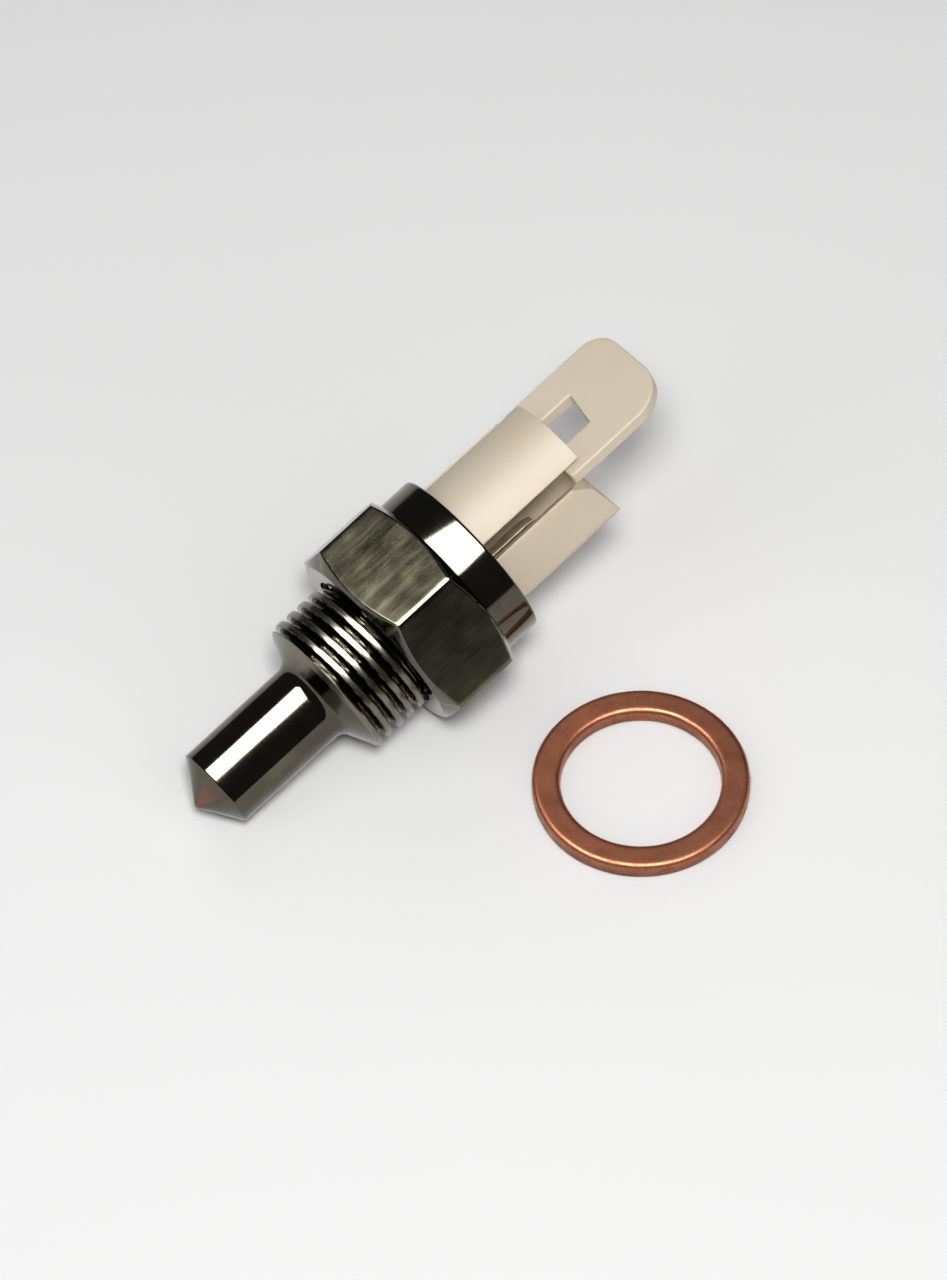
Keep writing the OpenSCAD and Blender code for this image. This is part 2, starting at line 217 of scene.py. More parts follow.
class StageSizes(bpy.types.PropertyGroup):
    """Camera, lights and table."""

    azimuth: rotation("Azimuth", "Camera's turn round the table", -38.55)
    elevation: rotation("Elevation", "Camera above the table", 54.15)
    roll: rotation("Roll", "Camera about its line of sight", -2.2)
    distance: length("Distance", "Camera to the probe", 0.5)
    view_height: length("View height", "At the probe", 78.8 * MM)
    nose_left: length("Nose left", "Nose from the middle of the view, leftwards", 17.1 * MM)
    nose_below: length("Nose below", "Nose from the middle of the view, downwards", 10.25 * MM)
    table_colour: colour("Table", "Pale table top", (0.860, 0.860, 0.855))
    room_colour: colour("Room", "Dim room seen in reflections", (0.300, 0.300, 0.310))


# -------- curves and surfaces


def filleted(corners, radii, closed=False, steps=6):
    """Corner points joined by straight runs. Each corner becomes the arc of its radius that touches both
    runs, its points turned evenly about the arc's centre."""
    corners = np.asarray(corners, float)
    parts = []
    for i, radius in enumerate(radii):
        corner = corners[i]
        if radius == 0 or (not closed and i in (0, len(corners) - 1)):
            parts.append(corner[None])
            continue
        back = unit(corners[i - 1] - corner)
        ahead = unit(corners[(i + 1) % len(corners)] - corner)
        half = 0.5 * np.arccos(np.clip(back @ ahead, -1, 1))
        centre = corner + unit(back + ahead) * radius / np.sin(half)
        first = corner + back * radius / np.tan(half) - centre
        last = corner + ahead * radius / np.tan(half) - centre
        turn = np.pi - 2 * half
        t = np.linspace(0, 1, steps + 1)[:, None]
        parts.append(centre + (np.sin((1 - t) * turn) * first + np.sin(t * turn) * last) / np.sin(turn))
    return np.concatenate(parts)


def arc(radius, start, end, steps):
    """Points at one radius from one angle to another."""
    angle = np.linspace(start, end, steps)
    return np.stack([radius * np.cos(angle), radius * np.sin(angle)], -1)


def inset(outline, distance):
    """A closed outline moved inwards: each point goes along the mean of its two edges' normals, stretched
    at corners so that both edges move by the distance."""
    ahead = np.roll(outline, -1, 0) - outline
    ahead /= np.linalg.norm(ahead, axis=1, keepdims=True)
    normal = np.stack([ahead[:, 1], -ahead[:, 0]], -1)
    mean = normal + np.roll(normal, 1, 0)
    mean /= np.maximum((mean * normal).sum(1, keepdims=True), 0.3)
    x, y = outline.T
    area = 0.5 * np.sum(x * np.roll(y, -1) - y * np.roll(x, -1))
    return outline - np.sign(area) * distance * mean


def grid_faces(rows, columns, closed):
    """Quads between neighbouring rows of a grid whose columns join up. closed also joins the last row to
    the first."""
    i = np.arange(rows if closed else rows - 1)[:, None]
    j = np.arange(columns)[None, :]
    following = (i + 1) % rows
    beside = (j + 1) % columns
    corners = (i * columns + j, i * columns + beside, following * columns + beside, following * columns + j)
    return np.stack(np.broadcast_arrays(*corners), -1).reshape(-1, 4)


def ring_shell(rings, ends):
    """Vertices and faces of a stack of rings. ends is 'loop', where the last ring meets the first, 'point',
    where each end closes on its own centre, or 'flat', where each end is one face."""
    rows, columns = rings.shape[:2]
    verts = rings.reshape(-1, 3)
    faces = grid_faces(rows, columns, ends == "loop").tolist()
    first = np.arange(columns)
    last = first + (rows - 1) * columns
    if ends == "flat":
        faces += [first[::-1].tolist(), last.tolist()]
    if ends == "point":
        centre = len(verts)
        verts = np.concatenate([verts, rings[0].mean(0)[None], rings[-1].mean(0)[None]])
        around = np.roll(first, -1)
        faces += np.stack([around, first, np.full(columns, centre)], -1).tolist()
        around = np.roll(last, -1)
        faces += np.stack([last, around, np.full(columns, centre + 1)], -1).tolist()
    return verts, faces


def outward(verts, faces):
    """Faces in the order that makes the enclosed volume positive, which is the sum of the signed pyramids
    from the origin to the fan triangles of every face."""
    volume = 0.0
    for size in {len(face) for face in faces}:
        ring = verts[np.array([face for face in faces if len(face) == size])]
        for k in range(1, size - 1):
            volume += np.einsum("ij,ij->i", ring[:, 0], np.cross(ring[:, k], ring[:, k + 1])).sum()
    return faces if volume > 0 else [face[::-1] for face in faces]


def make_object(name, shells, materials):
    """One mesh object out of closed shells, faces outwards, smooth but for its sharp edges."""
    verts = []
    faces = []
    for shell_verts, shell_faces in shells:
        offset = sum(len(part) for part in verts)
        shell_faces = outward(shell_verts, shell_faces)
        faces += [[offset + corner for corner in face] for face in shell_faces]
        verts.append(shell_verts)
    mesh = bpy.data.meshes.new(name)
    mesh.from_pydata(np.concatenate(verts).tolist(), [], faces)
    mesh.validate()
    mesh.polygons.foreach_set("use_smooth", np.ones(len(mesh.polygons), bool))
    mesh.set_sharp_from_angle(angle=SHARP)
    for material in materials:
        mesh.materials.append(material)
    obj = bpy.data.objects.new(name, mesh)
    bpy.context.scene.collection.objects.link(obj)
    return obj


def prism(outline, low, high, round_low=0.0, round_high=0.0):
    """Rings of an outline carried along z from low to high, its ends drawn in over a quarter circle."""
    sides = []
    for end, size, inwards in ((low, round_low, 1), (high, round_high, -1)):
        rows = [(size * 1.3, end)]
        if size:
            rows += [(size * (1 - np.sin(a)), end + inwards * size * (1 - np.cos(a))) for a in QUARTER]
        sides.append(rows[::inwards])
    rows = sides[0] + sides[1]
    rings = []
    for distance, height in rows:
        flat = inset(outline, distance)
        rings.append(np.concatenate([flat, np.full((len(flat), 1), height)], 1))
    return np.array(rings)


def soft_min(a, b, blend):
    """The smaller of two values, rounded off where they meet: their minimum less
    blend * log(1 + exp(-gap / blend))."""
    return np.minimum(a, b) - blend * np.log1p(np.exp(-np.abs(a - b) / blend))


def set_attribute(obj, name, values):
    """Stores one number per vertex under a name that a material can read."""
    attribute = obj.data.attributes.new(name=name, type="FLOAT", domain="POINT")
    attribute.data.foreach_set("value", np.asarray(values, np.float32))


# -------- finishes


class Finish:
    """A material under construction: its node tree, its surface shader and coordinates in millimetres."""

    def __init__(self, name, base, metallic, roughness, probe_space=True):
        """A plain surface whose pattern follows probe space, or else the table's directions."""
        self.material = bpy.data.materials.new(name)
        self.material.use_nodes = True
        self.tree = self.material.node_tree
        self.shader = self.tree.nodes["Principled BSDF"]
        self.shader.inputs["Base Color"].default_value = (*base, 1)
        self.shader.inputs["Metallic"].default_value = metallic
        self.shader.inputs["Roughness"].default_value = roughness
        source = self.add("ShaderNodeTexCoord").outputs["Object"]
        turn = Matrix.Rotation(TILT, 3, "Y") if probe_space else Matrix.Identity(3)
        mapping = self.add("ShaderNodeMapping")
        mapping.inputs["Scale"].default_value = (1 / MM, 1 / MM, 1 / MM)
        if probe_space:
            mapping.inputs["Rotation"].default_value = (0, TILT, 0)
            mapping.inputs["Location"].default_value = -(turn @ Vector(ORIGIN)) / MM
        self.link(source, mapping.inputs["Vector"])
        self.millimetres = mapping.outputs["Vector"]

    def add(self, kind, **settings):
        """A new node with some of its settings."""
        node = self.tree.nodes.new(kind)
        for key, value in settings.items():
            setattr(node, key, value)
        return node

    def link(self, output, socket):
        """Joins an output to an input."""
        self.tree.links.new(output, socket)

    def noise(self, stretch, detail=4.0, roughness=0.55, offset=(0, 0, 0)):
        """Cloudy noise whose grains are 1 / stretch millimetres long along x, y and z."""
        mapping = self.add("ShaderNodeMapping")
        mapping.inputs["Scale"].default_value = stretch
        mapping.inputs["Location"].default_value = offset
        self.link(self.millimetres, mapping.inputs["Vector"])
        node = self.add("ShaderNodeTexNoise")
        node.inputs["Scale"].default_value = 1.0
        node.inputs["Detail"].default_value = detail
        node.inputs["Roughness"].default_value = roughness
        self.link(mapping.outputs["Vector"], node.inputs["Vector"])
        return node.outputs["Fac"]

    def attribute(self, name):
        """A number stored on the mesh."""
        return self.add("ShaderNodeAttribute", attribute_name=name).outputs["Fac"]

    def ramp(self, factor, stops):
        """Colours spread over a factor."""
        node = self.add("ShaderNodeValToRGB")
        elements = node.color_ramp.elements
        while len(elements) < len(stops):
            elements.new(0.5)
        for element, (position, value) in zip(elements, stops):
            element.position = position
            element.color = (*value, 1)
        self.link(factor, node.inputs["Fac"])
        return node.outputs["Color"]

    def feed(self, sockets, values):
        """Links each output to its socket, or sets the socket to a number or a colour."""
        for socket, value in zip(sockets, values):
            if isinstance(value, bpy.types.NodeSocket):
                self.link(value, socket)
            else:
                socket.default_value = (*value, 1) if isinstance(value, tuple) else value

    def spread(self, factor, low, high, start=0.3, end=0.7):
        """A factor from start to end turned into a value from low to high."""
        node = self.add("ShaderNodeMapRange")
        self.feed(node.inputs[:5], (factor, start, end, low, high))
        return node.outputs["Result"]

    def math(self, operation, first, second):
        """Two values combined."""
        node = self.add("ShaderNodeMath", operation=operation)
        self.feed(node.inputs, (first, second))
        return node.outputs["Value"]

    def shares(self, first, second, share):
        """Two factors added, the first by its share and the second by the rest."""
        return self.math("ADD", self.math("MULTIPLY", first, share), self.math("MULTIPLY", second, 1 - share))

    def wear_and_highlight(self, pattern, low, high):
        """The mesh's wear, which at the hexagon's corners is partly a painted highlight, broken up by a
        pattern.
        """
        return self.math("MULTIPLY", self.attribute("edge_wear_and_highlight"), self.spread(pattern, low, high))

    def blend(self, factor, first, second):
        """Two colours mixed by a factor."""
        node = self.add("ShaderNodeMix", data_type="RGBA")
        self.feed((node.inputs[0], node.inputs[6], node.inputs[7]), (factor, first, second))
        return node.outputs[2]

    def bump(self, height, strength, depth):
        """Relief from a height, depth metres deep."""
        node = self.add("ShaderNodeBump")
        node.inputs["Strength"].default_value = strength
        node.inputs["Distance"].default_value = depth
        self.link(height, node.inputs["Height"])
        self.link(node.outputs["Normal"], self.shader.inputs["Normal"])

    def use(self, name, output):
        """Feeds one of the surface shader's inputs."""
        self.link(output, self.shader.inputs[name])


def shade(value, factor):
    """A colour made lighter or darker."""
    return tuple(min(1.0, channel * factor) for channel in value)


def turned_plate(base, copper):
    """Bright dark-nickel plate over turned brass: fine rings round the axis, clouded tone, lighter and duller
    rubbed crests and edges, which near the hexagon's corners are partly a painted highlight, and a painted
    reddish reflection on the nose in the colour given as copper, where the plate is also duller."""
    finish = Finish("turned_plate", base, 1.0, 0.08)
    rings = finish.noise((16, 0.25, 0.25), detail=5, roughness=0.7)
    clouds = finish.noise((0.5, 0.5, 0.5), detail=3, offset=(4, 1, 7))
    tone = finish.ramp(clouds, [(0.25, shade(base, 0.72)), (0.55, base), (0.8, shade(base, 1.25))])
    # Lighter rubbed crests and edges; near the hexagon's corners this is partly a painted highlight.
    wear_and_highlight = finish.wear_and_highlight(rings, 0.25, 0.8)
    # Painted reddish reflection on the nose, broken up by the clouds and mixed into the base colour.
    painted_reflection = finish.math("MULTIPLY", finish.attribute("painted_reflection"), finish.spread(clouds, 0.6, 1.0))
    finish.use("Base Color", finish.blend(painted_reflection, finish.blend(wear_and_highlight, tone, shade(base, 2.6)), copper))
    dull = finish.math("ADD", finish.math("MULTIPLY", painted_reflection, 0.35), finish.math("MULTIPLY", wear_and_highlight, 0.3))
    finish.use("Roughness", finish.math("ADD", finish.spread(rings, 0.06, 0.10), dull))
    finish.bump(rings, 0.12, 0.004 * MM)
    return finish.material


def milled_plate(base):
    """Dark-nickel plate over drawn hexagon stock: faint streaks along the axis, blotches, and lighter rubbed
    corners that are partly a painted highlight line along the corners.
    """
    finish = Finish("milled_plate", base, 1.0, 0.24)
    streaks = finish.noise((0.28, 4.5, 4.5), detail=5, roughness=0.6)
    blotches = finish.noise((0.55, 0.9, 0.9), detail=4, offset=(2, 5, 3))
    both = finish.shares(streaks, blotches, 0.4)
    tone = finish.ramp(both, [(0.36, shade(base, 0.8)), (0.5, base), (0.66, shade(base, 1.3))])
    # Lighter corners: rubbed plate, and partly a painted highlight line along the hexagon's corners.
    wear_and_highlight = finish.wear_and_highlight(blotches, 0.2, 0.9)
    finish.use("Base Color", finish.blend(wear_and_highlight, tone, shade(base, 3.2)))
    finish.use("Roughness", finish.spread(both, 0.10, 0.16, 0.35, 0.65))
    finish.bump(both, 0.1, 0.01 * MM)
    return finish.material


def grained(name, low, high, metallic, roughness, stretch, strength=0.2, depth=0.01 * MM):
    """A plain finish: one noise sets the tone from low to high, the roughness between its two values, and
    the relief."""
    finish = Finish(name, low, metallic, roughness[0])
    grain = finish.noise(stretch, detail=4)
    finish.use("Base Color", finish.ramp(grain, [(0.3, low), (0.7, high)]))
    finish.use("Roughness", finish.spread(grain, *roughness))
    finish.bump(grain, strength, depth)
    return finish.material


def ivory_plastic(base):
    """Moulded ivory plastic: satin, with hardly visible flow marks, fine grain and slightly yellower
    clouds."""
    finish = Finish("ivory_plastic", base, 0.0, 0.5)
    flow = finish.noise((0.12, 0.35, 0.35), detail=2, offset=(1, 2, 3))
    grain = finish.noise((14, 14, 14), detail=3)
    yellow = (base[0] * 0.98, base[1] * 0.96, base[2] * 0.92)
    finish.use("Base Color", finish.ramp(flow, [(0.3, yellow), (0.6, base), (0.8, shade(base, 1.02))]))
    finish.use("Roughness", finish.spread(grain, 0.46, 0.56))
    finish.shader.inputs["Subsurface Weight"].default_value = 0.12
    finish.shader.inputs["Subsurface Radius"].default_value = (1.0, 0.7, 0.45)
    finish.shader.inputs["Subsurface Scale"].default_value = 0.5 * MM
    finish.bump(grain, 0.12, 0.008 * MM)
    return finish.material


def stamped_copper(bright, oxide):
    """Stamped copper: dulled blotches, fine pits, and brighter rubbed edges."""
    finish = Finish("stamped_copper", bright, 1.0, 0.4, probe_space=False)
    blotches = finish.noise((0.9, 0.9, 0.9), detail=4, offset=(3, 8, 1))
    pits = finish.noise((6, 6, 6), detail=5, roughness=0.7)
    both = finish.shares(blotches, pits, 0.55)
    tone = finish.ramp(both, [(0.36, oxide), (0.54, shade(bright, 0.7)), (0.7, bright)])
    wear_and_highlight = finish.wear_and_highlight(pits, 0.3, 0.9)
    finish.use("Base Color", finish.blend(wear_and_highlight, tone, shade(bright, 1.6)))
    finish.use("Roughness", finish.spread(both, 0.52, 0.32, 0.35, 0.65))
    finish.bump(both, 0.45, 0.03 * MM)
    return finish.material


# -------- pocket


TURNED, FLAT, BORED = 0, 1, 2  # the pocket's finishes, in the order of its materials


def gathered_angles(count, gather):
    """Angles round the axis, closer together at the hexagon's corners:
    u - gather * sin(6 (u - 30 deg)) / 6 for evenly spaced u."""
    u = np.arange(count) * 2 * np.pi / count
    return u - gather * np.sin(6 * (u - np.pi / 6)) / 6


def hexagon_radius(angle, flats):
    """Radius of a hexagon with softly rounded corners: half the flats divided by the high-power mean of
    the cosines of the angle to each of the six flats."""
    power = 120
    facing = angle[:, None] - np.radians(60) * np.arange(6)
    total = (np.maximum(np.cos(facing), 0) ** power).sum(1)
    return flats / 2 / total ** (1 / power)


def thread_radius(z, angle, s):
    """Radius over the thread, and where its crests are rubbed. The phase is z / pitch less the turn. Within
    it a wide, slightly crowned crest falls by a smooth step into a narrow groove. The ridge runs out at the
    hexagon and is cut by a cone at the front."""
    first_turn = 0.35
    worn_end, crest_end, crown_end, groove_bottom = 0.35, 0.42, 0.6, 0.98
    crown_drop = 0.05 * MM
    run_out = 0.3 * MM
    front_slope = 1.8
    phase = z[:, None] / s.thread_pitch - angle[None, :] / (2 * np.pi) + first_turn
    away = 2 * np.abs(phase - np.floor(phase) - 0.5)
    ridge = 1 - np.clip((away - crest_end) / (groove_bottom - crest_end), 0, 1)
    ridge = ridge * ridge * (3 - 2 * ridge)
    crown = crown_drop * np.minimum(away, crown_end) ** 2
    fade = np.clip((-z[:, None] - SLIVER) / run_out, 0, 1)
    root = s.thread_radius - s.thread_depth
    cone = root + SLIVER + front_slope * (z[:, None] + s.thread_length)
    full = root + s.thread_depth * ridge * fade - crown
    return soft_min(full, cone, 0.03 * MM), ridge * fade * (away < worn_end)


def pocket_rings(s):
    """Rows of z and radius over the whole pocket, nose to lip and back down the bore, each row turned round
    the axis, with each point's wear, which at the hexagon's corners is partly a painted highlight, and
    finish."""
    angle = gathered_angles(count=240, gather=0.6)
    ones = np.ones_like(angle)
    root = s.thread_radius - s.thread_depth
    rows = []

    def add(z, radius, wear=0.0, finish=TURNED):
        """One row round the axis."""
        rows.append([part * ones for part in (z, radius, wear, finish)])

    front = filleted(
        [
            (-s.pocket_length, SLIVER),
            (-s.pocket_length, s.tip_radius),
            (NOSE_SHOULDER, s.stem_radius),
            (STEM_END + 0.6 * s.flare_fillet, s.stem_radius),
            (-s.thread_length, root),
        ],
        [0, 0.1 * MM, 0.12 * MM, s.flare_fillet, 0],
    )
    for z, radius in front[:-1]:
        add(z, radius)
    thread_z = np.linspace(-s.thread_length, 0, 150)
    thread, ridge = thread_radius(thread_z, angle, s)
    for z, radius, crest in zip(thread_z, thread, ridge):
        add(z, radius, np.clip(crest * 3 - 2, 0, 1))

    corner = hexagon_radius(angle, s.hex_flats)
    for radius in (root, s.relief_radius):
        add(s.relief_depth, radius)
    for radius in (s.relief_radius, s.face_radius - 0.05 * MM, s.face_radius):
        add(0.0, radius)
    rise = np.linspace(0.012, 0.95, 18) * MM
    middle = np.linspace(1.2 * MM, s.hex_length - 1.2 * MM, 7)
    chamfer_slope = np.sqrt(3)
    fold = np.abs((angle + np.pi / 6) % (np.pi / 3) - np.pi / 6)
    # Lighter colour at the hexagon's corners and where the chamfers meet them: rubbed plate, and partly a
    # painted highlight line along the corners.
    near_corner = np.clip((np.degrees(fold) - 27.5) / 2.5, 0, 1)
    for z in np.concatenate([rise, middle, s.hex_length - rise[::-1]]):
        cone = s.face_radius + chamfer_slope * min(z, s.hex_length - z)
        radius = soft_min(corner, cone * ones, 0.02 * MM)
        edge = np.exp(-np.abs(corner - cone) / (0.06 * MM))
        add(z, radius, np.maximum(edge * 0.6, near_corner), np.where(corner < cone, FLAT, TURNED))
    for radius in (s.face_radius, s.collar_radius + 0.1 * MM):
        add(s.hex_length, radius)

    collar_end = s.hex_length + s.collar_length
    flange = collar_end - s.lip_thickness
    back = filleted(
        [
            (s.hex_length, s.collar_radius),
            (collar_end, s.collar_radius),
            (collar_end, s.lip_radius),
            (flange, s.lip_radius),
        ],
        [0, s.lip_round, 0.1 * MM, 0],
        steps=9,
    )
    for z, radius in back:
        add(z, radius)
    inside = [
        (flange, s.seat_radius),
        (s.hex_length, s.seat_radius),
        (s.hex_length, s.chamber_radius),
        (s.chamber_end, s.chamber_radius),
        (s.chamber_end, s.bore_radius),
        (NOSE_SHOULDER + s.nose_wall, s.bore_radius),
        (NOSE_SHOULDER + s.nose_wall - s.drill_point, SLIVER),
    ]
    for z, radius in inside:
        add(z, radius, finish=BORED)
    z, radius, wear, finish = np.array(rows).transpose(1, 0, 2)
    points = np.stack([radius * np.cos(angle), radius * np.sin(angle), z], -1)
    return points, wear, finish


class PROBE_OT_pocket(bpy.types.Operator):
    """Makes the plated pocket: nose, stem, helical thread, hexagon and rolled collar"""

    bl_idname = "probe.pocket"
    bl_label = "Pocket"

    def execute(self, context):
        s = context.scene.probe_pocket
        points, wear, finish = pocket_rings(s)
        verts, faces = ring_shell(place(points), "point")
        turned = turned_plate(tuple(s.plate_colour), tuple(s.reflection_colour))
        milled = milled_plate(tuple(s.flats_colour))
        dull, clean = tuple(s.dull_bore_colour), tuple(s.bore_colour)
        bored = grained("bored_brass", dull, clean, 1.0, (0.4, 0.4), (9, 0.2, 0.2), 0.4, 0.02 * MM)
        obj = make_object("plated_pocket", [(verts, faces)], [turned, milled, bored])
        set_attribute(obj, "edge_wear_and_highlight", np.append(wear.ravel(), [0, 0]))
        x, y, z = np.moveaxis(points, -1, 0)
        # Where the nose gets its painted reddish reflection: a band of turns round the axis, ahead of the
        # nose's shoulder.
        beside = (s.reflection_half - np.abs(np.arctan2(y, x) - s.reflection_middle)) / np.radians(5)
        ahead = (NOSE_SHOULDER - 0.1 * MM - z) / (0.2 * MM)
        painted_reflection = np.clip(beside, 0, 1) * np.clip(ahead, 0, 1)
        set_attribute(obj, "painted_reflection", np.append(painted_reflection.ravel(), [0, 0]))
        pairs = np.minimum(finish, np.roll(finish, -1, 1))
        index = np.minimum(pairs[:-1], pairs[1:]).ravel()
        ends = np.repeat([TURNED, BORED], finish.shape[1])
        obj.data.polygons.foreach_set("material_index", np.append(index, ends).astype(np.int32))
        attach(obj, "probe")
        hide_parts("pocket_body")
        return {"FINISHED"}


# -------- connector


def slot_face(s, side, x=None, y=None):
    """Point where a slot's face, half a slot from its middle line on the given side, meets the barrel, or
    a given x or y."""
    middle = np.array([np.cos(s.slot_angle), np.sin(s.slot_angle)])
    across = np.array([-middle[1], middle[0]]) * side * s.slot_width / 2
    reach = np.sqrt(s.barrel_radius**2 - across @ across)
    if x is not None:
        reach = (x - across[0]) / middle[0]
    if y is not None:
        reach = (y - across[1]) / middle[1]
    return middle * reach + across


def full_outline(s):
    """The whole socket seen from its end: barrel on top, flat sides, flat underside with round edges."""
    meet = np.arcsin(s.side_flat / s.barrel_radius)
    top = arc(s.barrel_radius, 0, meet, 22)[1:]
    corners = np.concatenate([top, [(-s.underside, s.side_flat)]])
    radii = [0] * len(top) + [s.underside_round]
    half = filleted(np.concatenate([corners, [(-s.underside, 0)]]), radii + [0])[:-1]
    return np.concatenate([half, half[::-1] * (1, -1)])


def shell_outline(s, under):
    """The top shell between the slots: the barrel's arc above, flat underneath, its corners rounded."""
    outer = slot_face(s, -1)
    inner = slot_face(s, -1, x=under)
    angle = np.arctan2(outer[1], outer[0])
    top = arc(s.barrel_radius, angle * 0.96, -angle * 0.96, 30)
    corners = np.concatenate([[inner], [outer], top, [outer * (1, -1)], [inner * (1, -1)]])
    radii = [s.edge, s.edge] + [0] * len(top) + [s.edge, s.edge]
    return filleted(corners, radii, closed=True)


def trough_end(s, x):
    """Height of the trough's end at distance x above the axis: the lowest of its slant, its chamfer under
    the tongue and the round at its underside."""
    top = SOCKET_END + s.trough_ahead
    slope = np.tan(s.end_slant)
    slant = top - (x + s.underside) * slope
    chamfer = SOCKET_END - s.tongue_root + s.tongue_top - s.tongue_thickness - FIT - x
    beside = np.clip(x + s.underside - s.trough_round, -s.trough_round, 0)
    corner = top - s.trough_round * (1 + slope) + np.sqrt(s.trough_round**2 - beside**2)
    return np.minimum(slant, np.minimum(chamfer, np.where(beside < 0, corner, slant)))


def trough_rings(s, floor):
    """The trough's wall as sections along its U. Each section goes up the outside, over the rounded end and
    down the inside. Both sides of the U have the same corners in the same order, so their points face
    each other."""
    inside = s.side_flat - s.wall
    meet = s.barrel_radius * np.cos(np.arcsin(s.side_flat / s.barrel_radius))
    outer = [slot_face(s, 1), (meet, s.side_flat), (-s.underside, s.side_flat), (-s.underside, 0)]
    base = s.wall - s.underside
    start = slot_face(s, 1, y=inside)
    inner = [start, (start[0] - 0.1 * MM, inside), (base, inside), (base, 0)]
    steps = np.linspace(0, 1, 13)[:-1]
    sides = []
    for line, corner_round in ((outer, s.underside_round), (inner, 0.24 * MM)):
        line = filleted(line, [0, 0, corner_round, 0], steps=10)
        fine = line[:-1, None] + (line[1:] - line[:-1])[:, None] * steps[:, None]
        half = np.concatenate([fine.reshape(-1, 2), line[-1:]])
        sides.append(np.concatenate([half, half[-2::-1] * (1, -1)]))
    outside, cavity = sides
    across = (cavity - outside) / np.linalg.norm(cavity - outside, axis=1, keepdims=True)
    loop = [np.column_stack([outside, np.full(len(outside), floor)])]
    for side, direction, turns in ((outside, across, QUARTER), (cavity, -across, QUARTER[::-1])):
        for turn in turns:
            flat = side + direction * s.edge * (1 - np.cos(turn))
            height = trough_end(s, side[:, 0]) - s.edge * (1 - np.sin(turn))
            loop.append(np.column_stack([flat, height]))
    loop.append(np.column_stack([cavity, np.full(len(cavity), floor)]))
    return np.stack(loop, 1)


def drafted(s, rings, low):
    """Rings kept inside the barrel's cone, which narrows by the draft from low to the trough's end."""
    share = np.clip((rings[..., 2:] - low) / (SOCKET_END + s.trough_ahead - low), 0, 1)
    reach = np.maximum(np.linalg.norm(rings[..., :2], axis=-1, keepdims=True), MM / 100)
    factor = np.minimum(1, (s.barrel_radius - s.draft * share) / reach)
    return np.concatenate([rings[..., :2] * factor, rings[..., 2:]], -1)


def ray_reach(outline, angles):
    """Distance from the middle to a closed outline along each angle, by interpolation over the angles of
    the outline's own points."""
    steps = np.arange(12)[:, None] / 12
    points = (outline[:, None] + (np.roll(outline, -1, 0) - outline)[:, None] * steps).reshape(-1, 2)
    own = np.arctan2(points[:, 1], points[:, 0])
    order = np.argsort(own)
    reach = np.linalg.norm(points, axis=1)[order]
    return np.interp(angles, own[order], reach, period=2 * np.pi)


def tongue_rings(s, low):
    """Rings of the flat tongue round its window. Each column joins the window's edge to the tongue's edge.
    The rows run over the top, down the outside, back underneath and up the window's wall, and every edge
    is a quarter circle."""
    centre = SOCKET_END + s.window_start + s.window_length / 2
    root = low - centre
    end = SOCKET_END + s.tongue_length - centre
    wide = s.tongue_half
    corners = [(root, wide), (end, wide), (end, -wide), (root, -wide)]
    outside = filleted(corners, [2 * s.edge, s.near_round, s.far_round, 2 * s.edge], closed=True, steps=16)
    half = s.window_length / 2
    window = np.array([(half - s.window_skew, 1), (half, -1), (-half, -1), (-half, 1)]) * (1, s.window_half)
    inside = filleted(window, [1.2 * s.edge] * 4, closed=True, steps=6)
    own = [np.arctan2(line[:, 1], line[:, 0]) for line in (outside, inside)]
    angles = np.unique(np.round(np.concatenate(own + [np.linspace(-np.pi, np.pi, 120, endpoint=False)]), 5))
    direction = np.stack([np.cos(angles), np.sin(angles)], -1)
    outer = direction * ray_reach(outside, angles)[:, None]
    inner = direction * ray_reach(inside, angles)[:, None]
    top = s.tongue_top
    bottom = top - s.tongue_thickness
    across = np.linspace(0.08, 0.92, 6)
    rows = []

    def add(line, height):
        """One ring at one height."""
        rows.append(np.stack([np.full(len(line), height), line[:, 1], line[:, 0] + centre], -1))

    def wall(line, side, first, last):
        """A rounded edge at one face, and the other at the face that the wall leads to."""
        for level, sense, angles in ((first, 1, QUARTER), (last, -1, QUARTER[::-1])):
            rise = s.edge * sense * np.sign(last - first)
            for a in angles:
                add(inset(line, side * s.edge * (1 - np.sin(a))), level + rise * (1 - np.cos(a)))

    for t in across:
        add(inner + (outer - inner) * t, top)
    wall(outer, 1, top, bottom)
    for t in across[::-1]:
        add(inner + (outer - inner) * t, bottom)
    wall(inner, -1, bottom, top)
    return np.array(rows)


class PROBE_OT_connector(bpy.types.Operator):
    """Makes the connector moulding: flange, socket floor, trough, top shell and latch tongue"""

    bl_idname = "probe.connector"
    bl_label = "Connector"

    def execute(self, context):
        s = context.scene.probe_connector
        p = context.scene.probe_pocket
        collar_end = p.hex_length + p.collar_length
        flange = collar_end - p.lip_thickness
        floor = collar_end - s.floor_depth
        low = flange - 0.5 * MM
        under = s.tongue_top - s.tongue_thickness + 0.005 * MM
        circle = arc(1.0, 0, 2 * np.pi, 97)[:-1]
        parts = [
            prism(circle * s.boss_radius, flange - s.boss_depth, flange - EMBED, 0.1 * MM),
            prism(circle * (p.seat_radius - FIT), flange - s.flange_thickness, flange - 0.01 * MM, 0.1 * MM),
            drafted(s, prism(full_outline(s), low, floor), low),
            drafted(s, prism(shell_outline(s, under), floor - EMBED, SOCKET_END, 0.0, s.edge), low),
            drafted(s, trough_rings(s, floor - EMBED), low),
        ]
        shells = [ring_shell(place(part, ROLL), "flat") for part in parts]
        shells.append(ring_shell(place(tongue_rings(s, SOCKET_END - s.tongue_root), ROLL), "loop"))
        obj = make_object("connector_moulding", shells, [ivory_plastic(tuple(s.plastic_colour))])
        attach(obj, "probe")
        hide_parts("connector_housing")
        return {"FINISHED"}


